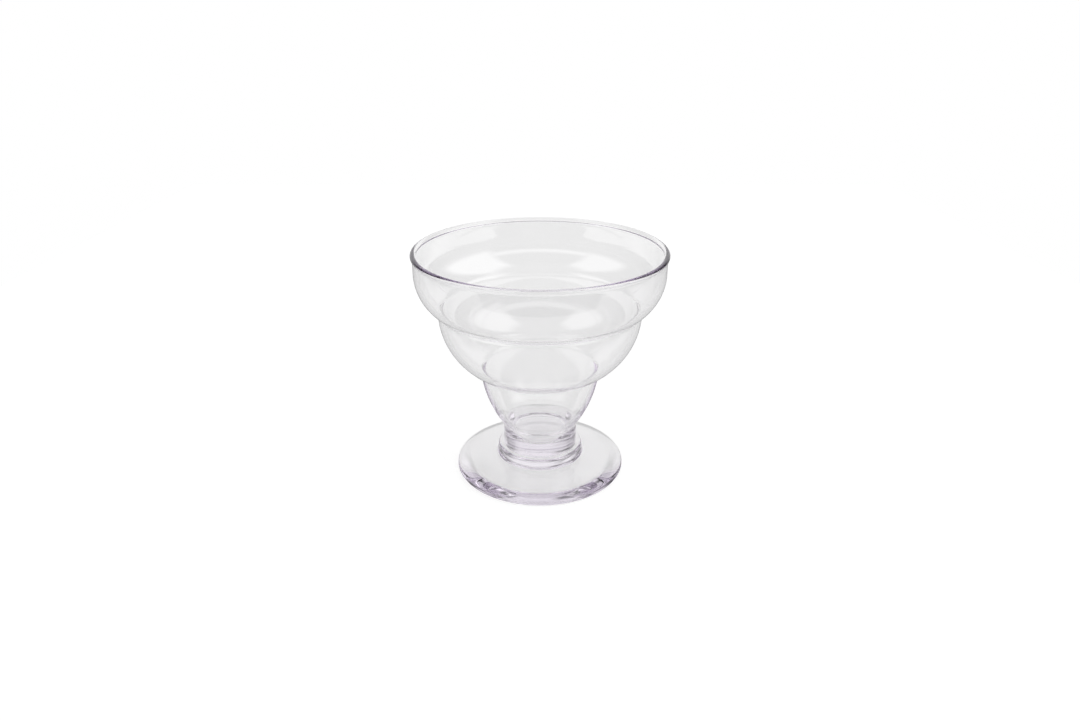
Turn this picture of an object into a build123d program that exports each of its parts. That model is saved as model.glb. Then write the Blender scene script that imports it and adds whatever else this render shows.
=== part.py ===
from build123d import *
import os
from math import acos, cos, degrees, radians, sin, sqrt

# Footed parfait glass in clear moulded plastic: a three-tier bowl on a short solid stem, bonded into a round foot.
# Millimetres. The origin is the middle of the foot's underside, on the table, and +Z is up.

# Foot: a disc with a thin round edge, rising to the collar, hollowed underneath so that it stands on a ring
foot_diameter = 74.4
foot_edge_thickness = 1.8
foot_edge_rounding = 0.7
foot_rise = 4.6
foot_hollow_diameter = 60.0
foot_hollow_depth = 2.0

# Collar: the rounded band of the foot that rings the end of the stem
collar_height = 4.2
collar_overhang = 2.3
collar_bulge = 0.2
collar_rounding = 1.3

# Stem: solid, between the collar and the lowest tier
stem_diameter = 32.4
stem_length = 10.3
stem_neck_rounding = 5.0

# Lower tier of the bowl: a cone that opens out on one gentle arc and ends nearly upright
lower_height = 25.5
lower_flare = 9.6
lower_draft = 6.0

# Middle and upper tiers: each leaves its step upright and turns in on one arc
middle_step = 17.0
middle_turn = 30.7
middle_straight = 1.2
upper_step = 9.1
upper_turn = 19.0
upper_straight = 7.6

# Wall, lip and necks of the bowl
wall = 1.5
lip_overhang = 0.7
lip_rounding = 0.4
neck_rounding = 2.0

# Pocket at the bottom of the bowl, sunk into the top of the stem
pocket_drop = 5.1
pocket_shoulder = 1.6
pocket_floor_diameter = 25.6
pocket_corner = 1.6
pocket_blend = 14.0

# Joint: the spigot under the stem, bonded into the socket of the foot
spigot_diameter = 28.0
spigot_length = 1.7
spigot_chamfer = 0.4
bond_thickness = 0.12


def turn_drop(turn, step):
    # height in which an arc that starts upright turns in by one step
    return sqrt(step * (2 * turn - step))


# Radii, from the stem outwards
stem_radius = stem_diameter / 2
lower_radius = stem_radius + lower_flare
middle_radius = lower_radius + middle_step
upper_radius = middle_radius + upper_step
lip_radius = (wall + lip_overhang) / 2
foot_radius = foot_diameter / 2
foot_hollow_radius = foot_hollow_diameter / 2
collar_radius = stem_radius + collar_overhang
spigot_radius = spigot_diameter / 2
socket_radius = spigot_radius + bond_thickness
pocket_floor_radius = pocket_floor_diameter / 2

# Heights, from the table upwards
collar_base = foot_edge_thickness + foot_rise
collar_top = collar_base + collar_height
stem_base = collar_top + bond_thickness
spigot_end = stem_base - spigot_length
socket_floor = spigot_end - bond_thickness
stem_top = collar_top + stem_length
lower_top = stem_top + lower_height
middle_turn_height = lower_top + turn_drop(middle_turn, middle_step)
middle_top = middle_turn_height + middle_straight
upper_turn_height = middle_top + turn_drop(upper_turn, upper_step)
lip_height = upper_turn_height + upper_straight

# Inside of the bowl: arcs and necks share the outer ones' centres, one wall further in
inner_neck_rounding = neck_rounding + wall
inner_lower_top = middle_turn_height - turn_drop(middle_turn - wall, middle_step)
inner_middle_top = upper_turn_height - turn_drop(upper_turn - wall, upper_step)
pocket_floor = stem_top - pocket_drop
pocket_top = stem_top + pocket_shoulder

# Corners of the bowl's outline, as (radius, height)
floor_corner = (pocket_floor_radius, pocket_floor)
pocket_edge = (stem_radius - wall, pocket_top)
inner_lower_neck = (lower_radius - wall, inner_lower_top)
inner_middle_turn = (middle_radius - wall, middle_turn_height)
inner_middle_neck = (middle_radius - wall, inner_middle_top)
inner_upper_turn = (upper_radius - wall, upper_turn_height)
lip_start = (upper_radius - wall, lip_height)
lip_centre = (upper_radius - wall + lip_radius, lip_height)
lip_end_angle = acos((wall - lip_radius) / lip_radius)
lip_end = (upper_radius, lip_height - lip_radius * sin(lip_end_angle))
outer_upper_turn = (upper_radius, upper_turn_height)
outer_middle_neck = (middle_radius, middle_top)
outer_middle_turn = (middle_radius, middle_turn_height)
outer_lower_neck = (lower_radius, lower_top)
stem_neck = (stem_radius, stem_top)
stem_shoulder = (stem_radius, stem_base)
spigot_root = (spigot_radius, stem_base)
spigot_corner = (spigot_radius, spigot_end)

downward = (0, -1)
lower_top_slope = (-sin(radians(lower_draft)), -cos(radians(lower_draft)))


def corners_at(outline, *points):
    # the outline's corner nearest to each point
    return [outline.vertices().sort_by_distance(point)[0] for point in points]


# Bowl: three tiers, lip, pocket, stem and spigot, turned about the axis
with BuildPart() as bowl:
    with BuildSketch(Plane.XZ) as bowl_outline:
        with BuildLine():
            Polyline((0, pocket_floor), floor_corner, pocket_edge)
            TangentArc(inner_lower_neck, pocket_edge, tangent=lower_top_slope)
            TangentArc(inner_middle_turn, inner_lower_neck, tangent=downward)
            Line(inner_middle_turn, inner_middle_neck)
            TangentArc(inner_upper_turn, inner_middle_neck, tangent=downward)
            Line(inner_upper_turn, lip_start)
            CenterArc(lip_centre, lip_radius, 180, -180 - degrees(lip_end_angle))
            Line(lip_end, outer_upper_turn)
            TangentArc(outer_upper_turn, outer_middle_neck, tangent=downward)
            Line(outer_middle_neck, outer_middle_turn)
            TangentArc(outer_middle_turn, outer_lower_neck, tangent=downward)
            TangentArc(outer_lower_neck, stem_neck, tangent=lower_top_slope)
            Polyline(stem_neck, stem_shoulder, spigot_root, spigot_corner, (0, spigot_end), (0, pocket_floor))
        make_face()
        fillet(corners_at(bowl_outline, floor_corner), pocket_corner)
        fillet(corners_at(bowl_outline, pocket_edge), pocket_blend)
        fillet(corners_at(bowl_outline, inner_lower_neck, inner_middle_neck), inner_neck_rounding)
        fillet(corners_at(bowl_outline, lip_end), lip_rounding)
        fillet(corners_at(bowl_outline, outer_middle_neck, outer_lower_neck), neck_rounding)
        fillet(corners_at(bowl_outline, stem_neck), stem_neck_rounding)
        chamfer(corners_at(bowl_outline, spigot_corner), spigot_chamfer)
    revolve(axis=Axis.Z)
bowl.part.label = "bowl"

# Foot: disc, collar, socket and hollow underside, turned about the axis
edge_top = (foot_radius, foot_edge_thickness)
edge_bottom = (foot_radius, 0)
collar_foot = (collar_radius, collar_base)
collar_crown = (collar_radius + collar_bulge, collar_base + collar_height / 2)
collar_rim = (collar_radius, collar_top)

with BuildPart() as foot:
    with BuildSketch(Plane.XZ) as foot_outline:
        with BuildLine():
            Polyline((0, socket_floor), (socket_radius, socket_floor), (socket_radius, collar_top), collar_rim)
            ThreePointArc(collar_rim, collar_crown, collar_foot)
            Polyline(collar_foot, edge_top, edge_bottom, (foot_hollow_radius, 0))
            TangentArc((0, foot_hollow_depth), (foot_hollow_radius, 0), tangent=(1, 0))
            Line((0, foot_hollow_depth), (0, socket_floor))
        make_face()
        fillet(corners_at(foot_outline, collar_rim, collar_foot), collar_rounding)
        fillet(corners_at(foot_outline, edge_top, edge_bottom), foot_edge_rounding)
    revolve(axis=Axis.Z)
foot.part.label = "foot"

# Bond: the cured film that fills the socket round the spigot and the seam under the stem's shoulder
with BuildPart() as bond:
    with BuildSketch(Plane.XY.offset(socket_floor)):
        Circle(socket_radius)
    extrude(amount=collar_top - socket_floor)
    with BuildSketch(Plane.XY.offset(collar_top)):
        Circle(stem_radius)
    extrude(amount=bond_thickness)
    add(bowl.part, mode=Mode.SUBTRACT)
bond.part.label = "bond"

os.makedirs("parts", exist_ok=True)
for piece in (bowl.part, foot.part, bond.part):
    export_step(piece, f"parts/{piece.label}.step")

print(f"height {lip_height + lip_radius:.2f}, rim {2 * (upper_radius + lip_overhang):.2f}, foot {foot_diameter:.2f}")
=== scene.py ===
import bpy
import cmath
import math
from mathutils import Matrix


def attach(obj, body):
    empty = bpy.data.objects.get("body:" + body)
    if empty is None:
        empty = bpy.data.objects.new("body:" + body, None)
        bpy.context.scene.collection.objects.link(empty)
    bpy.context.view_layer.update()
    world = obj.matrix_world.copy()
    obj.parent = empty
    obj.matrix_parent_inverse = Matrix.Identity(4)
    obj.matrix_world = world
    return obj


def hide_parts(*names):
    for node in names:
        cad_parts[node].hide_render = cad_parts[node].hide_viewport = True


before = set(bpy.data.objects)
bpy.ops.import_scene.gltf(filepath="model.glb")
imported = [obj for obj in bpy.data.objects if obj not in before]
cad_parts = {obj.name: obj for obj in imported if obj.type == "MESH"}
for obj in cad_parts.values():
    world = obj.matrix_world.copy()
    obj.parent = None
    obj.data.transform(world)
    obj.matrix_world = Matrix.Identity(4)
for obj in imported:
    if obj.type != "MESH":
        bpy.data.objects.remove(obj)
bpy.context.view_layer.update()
bpy.ops.object.select_all(action="DESELECT")
scene = bpy.context.scene
scene.view_settings.view_transform = "Standard"
mm = 0.001
print("frame loaded")

# Turning: tries at each corner's rounding, steps and degrees of an arc's facets, merging distance, smooth edges
turning = {"cornerTries": 30, "leastSteps": 3, "facetTurn": 9, "mergeGap": 0.001, "smoothBelow": 24}


# Drawing the half outline of a turned piece: radius and height in millimetres, as one complex number
def unit(value):
    return value / abs(value)


def line(end, rounding=0):
    return {"end": complex(*end), "centre": None, "rounding": rounding}


def arc(end, centre, sense, rounding=0):
    # sense 1 runs anticlockwise, with the radius to the right and the height up
    return {"end": complex(*end), "centre": complex(*centre), "sense": sense, "rounding": rounding}


def travel(leg, point):
    if leg["centre"] is None:
        return unit(leg["end"] - leg["start"])
    return 1j * leg["sense"] * unit(point - leg["centre"])


def standOff(leg, point, turn):
    # how far a point stands off a leg towards the inside of the turn, and which way that is
    if leg["centre"] is None:
        away = 1j * turn * travel(leg, point)
        return ((point - leg["start"]) * away.conjugate()).real, away
    ray = point - leg["centre"]
    bend = turn * leg["sense"]
    return bend * (abs(leg["end"] - leg["centre"]) - abs(ray)), -bend * unit(ray)


def roundedOutline(start, legs):
    # puts a tangent arc into each corner that has a rounding
    here = complex(*start)
    for leg in legs:
        leg["start"] = here
        here = leg["end"]
    path = []
    for leg, after in zip(legs, legs[1:] + [None]):
        path.append(leg)
        rounding = leg["rounding"]
        if not rounding:
            continue
        corner = leg["end"]
        turn = math.copysign(1, (travel(leg, corner).conjugate() * travel(after, corner)).imag)
        centre = corner
        for guess in range(turning["cornerTries"]):
            gapA, wayA = standOff(leg, centre, turn)
            gapB, wayB = standOff(after, centre, turn)
            cross = (wayA.conjugate() * wayB).imag
            centre += 1j * ((rounding - gapB) * wayA - (rounding - gapA) * wayB) / cross
        leg["end"] = centre - rounding * wayA
        after["start"] = centre - rounding * wayB
        path.append({"start": leg["end"], "end": after["start"], "centre": centre, "sense": turn})
    return path


def drawOutline(name, start, legs, facet):
    # a plane merged to its middle leaves one vertex, which is pulled along the outline
    bpy.ops.object.select_all(action="DESELECT")
    bpy.ops.mesh.primitive_plane_add(size=mm, location=(0, 0, 0))
    piece = bpy.context.object
    piece.name = name
    bpy.ops.object.mode_set(mode="EDIT")
    bpy.ops.mesh.merge(type="CENTER")
    bpy.ops.transform.translate(value=(start[0] * mm, 0, start[1] * mm))
    for leg in roundedOutline(start, legs):
        if leg["centre"] is None:
            reach = leg["end"] - leg["start"]
            steps = max(1, round(abs(reach) / facet))
            for step in range(steps):
                pull = (reach.real * mm / steps, 0, reach.imag * mm / steps)
                bpy.ops.mesh.extrude_vertices_move(TRANSFORM_OT_translate={"value": pull})
        else:
            centre = leg["centre"]
            sweep = cmath.phase((leg["end"] - centre) / (leg["start"] - centre))
            sweep %= leg["sense"] * 2 * math.pi  # the way round that the sense gives
            byTurn = round(abs(sweep) / math.radians(turning["facetTurn"]))
            byLength = round(abs(sweep) * abs(leg["end"] - centre) / facet)
            steps = max(turning["leastSteps"], byTurn, byLength)
            pivot = (centre.real * mm, 0, centre.imag * mm)
            bpy.ops.mesh.spin(steps=steps, angle=sweep, center=pivot, axis=(0, 1, 0))
    return piece


def turnOnAxis(piece, around):
    # the outline goes once round the axis, and the seam and the two poles are merged
    bpy.ops.mesh.select_all(action="SELECT")
    bpy.ops.mesh.spin(steps=around, angle=2 * math.pi, center=(0, 0, 0), axis=(0, 0, 1))
    bpy.ops.mesh.select_all(action="SELECT")
    bpy.ops.mesh.remove_doubles(threshold=turning["mergeGap"] * mm)
    bpy.ops.mesh.normals_make_consistent(inside=False)
    bpy.ops.object.mode_set(mode="OBJECT")
    bpy.ops.object.shade_smooth_by_angle(angle=math.radians(turning["smoothBelow"]))
    print(piece.name, len(piece.data.polygons), "faces")


def turnDrop(turn, step):
    # height in which an arc that starts upright turns in by one step
    return math.sqrt(step * (2 * turn - step))


def arcCentre(start, end, slope):
    # centre of the arc that leaves start along slope and runs through end
    begin, chord = complex(*start), complex(*end) - complex(*start)
    side = 1j * unit(complex(*slope))
    centre = begin + side * abs(chord) ** 2 / (2 * (chord * side.conjugate()).real)
    return centre.real, centre.imag


def bowCentre(start, end, rise):
    # centre of the arc from start to end that stands off its chord by rise, on the left of the way
    begin, finish = complex(*start), complex(*end)
    half = abs(finish - begin) / 2
    radius = (half ** 2 + rise ** 2) / (2 * rise)
    centre = (begin + finish) / 2 + 1j * unit(finish - begin) * (rise - radius)
    return centre.real, centre.imag


# Bowl: three tiers, rolled lip, pocket, solid stem and spigot
bowl = {
    "collarTop": 10.6, "film": 0.12, "bite": 0.02,
    "stemRadius": 16.2, "stemTop": 20.9, "stemNeck": 5.0,
    "lowerRadius": 25.8, "lowerTop": 46.4, "lowerDraft": 6.0,
    "middleRadius": 42.8, "middleTurn": 30.7, "middleStraight": 1.2,
    "upperRadius": 51.9, "upperTurn": 19.0, "upperStraight": 7.6,
    "wall": 1.5, "lipRadius": 1.1, "lipRounding": 0.4, "outerNeck": 2.0, "innerNeck": 3.5,
    "pocketFloor": 15.8, "pocketFloorRadius": 12.8, "pocketTop": 22.5, "pocketMouth": 14.7,
    "pocketCorner": 1.6, "pocketBlend": 14.0,
    "spigotRadius": 14.0, "spigotEnd": 9.02, "chamfer": 0.4,
    "facet": 0.9, "around": 192,
}


def makeBowl(size):
    wall = size["wall"]
    lower, middle, upper = size["lowerRadius"], size["middleRadius"], size["upperRadius"]
    middleTurnHeight = size["lowerTop"] + turnDrop(size["middleTurn"], middle - lower)
    middleTop = middleTurnHeight + size["middleStraight"]
    upperTurnHeight = middleTop + turnDrop(size["upperTurn"], upper - middle)
    lipHeight = upperTurnHeight + size["upperStraight"]
    innerLowerTop = middleTurnHeight - turnDrop(size["middleTurn"] - wall, middle - lower)
    innerMiddleTop = upperTurnHeight - turnDrop(size["upperTurn"] - wall, upper - middle)
    draft = math.radians(size["lowerDraft"])
    slope = (-math.sin(draft), -math.cos(draft))
    pocketEdge = (size["pocketMouth"], size["pocketTop"])
    innerLowerNeck = (lower - wall, innerLowerTop)
    outerLowerNeck = (lower, size["lowerTop"])
    stemNeck = (size["stemRadius"], size["stemTop"])
    innerCentre = arcCentre(innerLowerNeck, pocketEdge, slope)
    outerCentre = arcCentre(outerLowerNeck, stemNeck, slope)
    middleCentre = (middle - size["middleTurn"], middleTurnHeight)
    upperCentre = (upper - size["upperTurn"], upperTurnHeight)
    lip = size["lipRadius"]
    lipCentre = (upper - wall + lip, lipHeight)
    lipEnd = (upper, lipHeight - math.sqrt(lip ** 2 - (wall - lip) ** 2))
    # the spigot fills its film and bites a hair into the socket, so no skin of air shows
    grow = size["film"] + size["bite"]
    stemBase = size["collarTop"] + size["film"] - grow
    spigot, end, chamfer = size["spigotRadius"] + grow, size["spigotEnd"] - grow, size["chamfer"]
    start = (0, size["pocketFloor"])
    legs = [
        line((size["pocketFloorRadius"], size["pocketFloor"]), size["pocketCorner"]),
        line(pocketEdge, size["pocketBlend"]),
        arc(innerLowerNeck, innerCentre, 1, size["innerNeck"]),
        arc((middle - wall, middleTurnHeight), middleCentre, 1),
        line((middle - wall, innerMiddleTop), size["innerNeck"]),
        arc((upper - wall, upperTurnHeight), upperCentre, 1),
        line((upper - wall, lipHeight)),
        arc(lipEnd, lipCentre, -1, size["lipRounding"]),
        line((upper, upperTurnHeight)),
        arc((middle, middleTop), upperCentre, -1, size["outerNeck"]),
        line((middle, middleTurnHeight)),
        arc(outerLowerNeck, middleCentre, -1, size["outerNeck"]),
        arc(stemNeck, outerCentre, -1, size["stemNeck"]),
        line((size["stemRadius"], stemBase)),
        line((spigot, stemBase)),
        line((spigot, end + chamfer)),
        line((spigot - chamfer, end)),
        line((0, end)),
    ]
    piece = drawOutline("bowlMoulding", start, legs, size["facet"])
    turnOnAxis(piece, size["around"])
    return piece


# Foot: gently domed disc, collar, socket and hollow underside
foot = {
    "radius": 37.2, "edge": 1.8, "edgeRounding": 0.7, "dome": 1.2, "hollowRadius": 30.0, "hollowDepth": 2.0,
    "collarRadius": 18.5, "collarBase": 6.4, "collarTop": 10.6, "collarBulge": 0.2, "collarRounding": 1.3,
    "socketRadius": 14.12, "socketFloor": 8.9,
    "facet": 0.9, "around": 192,
}


def makeFoot(size):
    radius, collar, base, top = size["radius"], size["collarRadius"], size["collarBase"], size["collarTop"]
    edge, hollow, depth = size["edge"], size["hollowRadius"], size["hollowDepth"]
    sideCentre = bowCentre((collar, top), (collar, base), size["collarBulge"])
    domeCentre = bowCentre((collar, base), (radius, edge), size["dome"])
    hollowRound = (hollow ** 2 + depth ** 2) / (2 * depth)
    start = (0, size["socketFloor"])
    legs = [
        line((size["socketRadius"], size["socketFloor"])),
        line((size["socketRadius"], top)),
        line((collar, top), size["collarRounding"]),
        arc((collar, base), sideCentre, -1, size["collarRounding"]),
        arc((radius, edge), domeCentre, -1, size["edgeRounding"]),
        line((radius, 0), size["edgeRounding"]),
        line((hollow, 0)),
        arc((0, depth), (0, depth - hollowRound), 1),
    ]
    piece = drawOutline("footMoulding", start, legs, size["facet"])
    turnOnAxis(piece, size["around"])
    return piece


# Bond: the cured film round the spigot
bond = {
    "spigotRadius": 14.0, "spigotEnd": 9.02, "chamfer": 0.4,
    "film": 0.12, "clear": 0.03, "stemRadius": 16.2, "collarTop": 10.6,
    "facet": 1.2, "around": 96,
}


def makeBond(size):
    # held a hair clear of the socket and of the stem's side, because faces in the same place swallow light
    clear, film = size["clear"], size["film"] - size["clear"]
    spigot, end, chamfer = size["spigotRadius"], size["spigotEnd"], size["chamfer"]
    top, shoulder = size["collarTop"] + clear, size["stemRadius"] - clear
    start = (0, end)
    legs = [
        line((spigot - chamfer, end)),
        line((spigot, end + chamfer)),
        line((spigot, top + film)),
        line((shoulder, top + film)),
        line((shoulder, top)),
        line((spigot + film, top)),
        line((spigot + film, end - film)),
        line((0, end - film)),
    ]
    piece = drawOutline("bondFilm", start, legs, size["facet"])
    turnOnAxis(piece, size["around"])
    return piece


bowlPiece = makeBowl(bowl)
footPiece = makeFoot(foot)
bondPiece = makeBond(bond)
print("pieces turned")


# Materials
def linear(code):
    # a colour as on a screen, such as "e8e4ef", to the renderer's linear values
    values = [int(code[at:at + 2], 16) / 255 for at in (0, 2, 4)]
    return tuple(v / 12.92 if v <= 0.04045 else ((v + 0.055) / 1.055) ** 2.4 for v in values) + (1,)


def setInputs(tree, node, inputs):
    # an input takes a fixed value, or a link from another node's output
    for name, value in inputs.items():
        if isinstance(value, bpy.types.NodeSocket):
            tree.links.new(value, node.inputs[name])
        else:
            node.inputs[name].default_value = value


def addNode(tree, kind, inputs, **settings):
    node = tree.nodes.new(kind)
    for name, value in settings.items():
        setattr(node, name, value)
    setInputs(tree, node, inputs)
    return node


def clearPlastic(name, look):
    material = bpy.data.materials.new(name)
    material.use_nodes = True
    tree = material.node_tree
    place = addNode(tree, "ShaderNodeTexCoord", {})
    haze = addNode(tree, "ShaderNodeTexNoise", {
        "Vector": place.outputs["Object"], "Scale": 1 / (look["hazeSize"] * mm), "Detail": look["hazeDetail"],
    })
    spread = addNode(tree, "ShaderNodeMapRange", {
        "Value": haze.outputs["Fac"], "To Min": look["polish"], "To Max": look["scuffed"],
    })
    tint = addNode(tree, "ShaderNodeVolumeAbsorption", {
        "Color": linear(look["tint"]), "Density": look["depth"],
    })
    setInputs(tree, tree.nodes["Principled BSDF"], {
        "Base Color": linear(look["body"]), "Transmission Weight": 1, "IOR": look["index"],
        "Roughness": spread.outputs["Result"],
    })
    setInputs(tree, tree.nodes["Material Output"], {"Volume": tint.outputs["Volume"]})
    return material


# clear polycarbonate, injection moulded and polished: glassy, with a faint violet cast in its thick parts
moulded = {
    "body": "ffffff", "index": 1.585, "tint": "a060bd", "depth": 4,
    "hazeSize": 6, "hazeDetail": 3, "polish": 0.0, "scuffed": 0.03,
}
# cured clear adhesive, seen from inside the plastic: only the small step of index between them counts
cured = {
    "body": "ffffff", "index": 1.03, "tint": "e6e0ee", "depth": 2,
    "hazeSize": 3, "hazeDetail": 3, "polish": 0.0, "scuffed": 0.02,
}
mouldedClear = clearPlastic("polycarbonateMoulded", moulded)
curedClear = clearPlastic("adhesiveCured", cured)
for piece, material, node in (
    (bowlPiece, mouldedClear, "bowl"),
    (footPiece, mouldedClear, "foot"),
    (bondPiece, curedClear, "bond"),
):
    piece.data.materials.append(material)
    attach(piece, "root")
    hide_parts(node)
print("materials on")

# Studio floor: a matte paper sheet, lifted so that it looks white to the camera and pale through the glass
studio = {
    "floorSize": 800, "floorShift": 200, "floorGap": 0.3, "floorPaint": "b0b0b0",
    "cameraLift": 0.82, "glassLift": 0.58, "mirrorLift": 0.1,
}
bpy.ops.mesh.primitive_plane_add(
    size=studio["floorSize"] * mm, location=(0, studio["floorShift"] * mm, -studio["floorGap"] * mm)
)
floorSheet = bpy.context.object
floorSheet.name = "studioFloor"
floorPaint = bpy.data.materials.new("paperMatte")
floorPaint.use_nodes = True
tree = floorPaint.node_tree
paper = tree.nodes["Principled BSDF"]
setInputs(tree, paper, {"Base Color": linear(studio["floorPaint"]), "Roughness": 1, "Specular IOR Level": 0})
floorPath = addNode(tree, "ShaderNodeLightPath", {})
lift = 0
for ray, amount in (
    ("Is Camera Ray", studio["cameraLift"]),
    ("Is Transmission Ray", studio["glassLift"]),
    ("Is Glossy Ray", studio["mirrorLift"]),  # a ray through glass counts as glossy too
):
    share = addNode(tree, "ShaderNodeMath", {
        0: floorPath.outputs[ray], 1: amount, 2: lift,
    }, operation="MULTIPLY_ADD")
    lift = share.outputs["Value"]
glow = addNode(tree, "ShaderNodeEmission", {"Color": linear("ffffff"), "Strength": lift})
both = addNode(tree, "ShaderNodeAddShader", {0: paper.outputs["BSDF"], 1: glow.outputs["Emission"]})
setInputs(tree, tree.nodes["Material Output"], {"Surface": both.outputs["Shader"]})
floorSheet.data.materials.append(floorPaint)

# Light tent: angles in degrees, 0 towards the camera and growing to the right, heights from the table
tent = {
    "level": 0.05, "top": 0.2, "topFrom": 55, "topFull": 80, "backdrop": 0.89,
    "panels": [
        {"from": -100, "to": -52, "low": 22, "high": 66, "soft": 14, "glow": 1.2},  # left
        {"from": 52, "to": 112, "low": 16, "high": 66, "soft": 14, "glow": 1.4},  # right
        {"from": -50, "to": 50, "low": 24, "high": 33, "soft": 8, "glow": 1.1},  # strip above the camera
        {"from": 142, "to": 220, "low": -40, "high": 66, "soft": 20, "glow": 0.9},  # back
        {"from": -220, "to": -160, "low": -40, "high": 66, "soft": 20, "glow": 0.9},
        {"from": -160, "to": -138, "low": -40, "high": 34, "soft": 20, "glow": 0.9},
    ],
}
world = bpy.data.worlds.new("lightTent")
scene.world = world
world.use_nodes = True
sky = world.node_tree
way = addNode(sky, "ShaderNodeTexCoord", {})
axes = addNode(sky, "ShaderNodeSeparateXYZ", {"Vector": way.outputs["Generated"]})
forward = addNode(sky, "ShaderNodeMath", {0: axes.outputs["Y"], 1: -1}, operation="MULTIPLY")
turned = addNode(sky, "ShaderNodeMath", {
    0: axes.outputs["X"], 1: forward.outputs["Value"],
}, operation="ARCTAN2")
raised = addNode(sky, "ShaderNodeMath", {0: axes.outputs["Z"]}, operation="ARCSINE")
bearing, height = turned.outputs["Value"], raised.outputs["Value"]
room = addNode(sky, "ShaderNodeMapRange", {
    "Value": height, "From Min": math.radians(tent["topFrom"]), "From Max": math.radians(tent["topFull"]),
    "To Min": tent["level"], "To Max": tent["top"],
}, interpolation_type="SMOOTHSTEP")
level = room.outputs["Result"]
for panel in tent["panels"]:
    soft = math.radians(panel["soft"]) / 2
    patch = panel["glow"]
    for angle, edge, before, after in (
        (bearing, "from", 0, 1),
        (bearing, "to", 1, 0),
        (height, "low", 0, 1),
        (height, "high", 1, 0),
    ):
        place = math.radians(panel[edge])
        ramp = addNode(sky, "ShaderNodeMapRange", {
            "Value": angle, "From Min": place - soft, "From Max": place + soft,
            "To Min": before, "To Max": after,
        }, interpolation_type="SMOOTHSTEP")
        cut = addNode(sky, "ShaderNodeMath", {0: ramp.outputs["Result"], 1: patch}, operation="MULTIPLY")
        patch = cut.outputs["Value"]
    level = addNode(sky, "ShaderNodeMath", {0: level, 1: patch}, operation="ADD").outputs["Value"]
# the white backdrop is seen directly, and through the glass by rays that were not thrown back inside it:
# in the world, depth less passes through glass is 1 for such a ray, and 2 or more for a thrown one
skyPath = addNode(sky, "ShaderNodeLightPath", {})
depth, passes = skyPath.outputs["Ray Depth"], skyPath.outputs["Transmission Depth"]
thrown = addNode(sky, "ShaderNodeMath", {0: depth, 1: passes}, operation="SUBTRACT")
straight = addNode(sky, "ShaderNodeMapRange", {
    "Value": thrown.outputs["Value"], "From Min": 1, "From Max": 2, "To Min": tent["backdrop"], "To Max": 0,
})
through = addNode(sky, "ShaderNodeMath", {
    0: straight.outputs["Result"], 1: skyPath.outputs["Is Transmission Ray"],
}, operation="MULTIPLY")
for white in (through.outputs["Value"], skyPath.outputs["Is Camera Ray"]):
    level = addNode(sky, "ShaderNodeMath", {0: level, 1: white}, operation="MAXIMUM").outputs["Value"]
setInputs(sky, sky.nodes["Background"], {"Color": linear("ffffff"), "Strength": level})

bounces = 128  # light crosses many faces of clear plastic before it leaves them
scene.cycles.max_bounces = bounces
scene.cycles.transmission_bounces = bounces
scene.cycles.glossy_bounces = bounces

# Camera: at the place fitted to the photograph, 0.36 m from the middle of the foot, tilted down by the dip
view = {"back": 310.4, "up": 190.7, "dip": 24.39, "lens": 26.207, "sensor": 36, "near": 10}
bpy.ops.object.camera_add(
    location=(0, -view["back"] * mm, view["up"] * mm), rotation=(math.radians(90 - view["dip"]), 0, 0)
)
camera = bpy.context.object
camera.name = "photoCamera"
camera.data.lens = view["lens"]
camera.data.sensor_width = view["sensor"]
camera.data.clip_start = view["near"] * mm
scene.camera = camera
print("studio set")
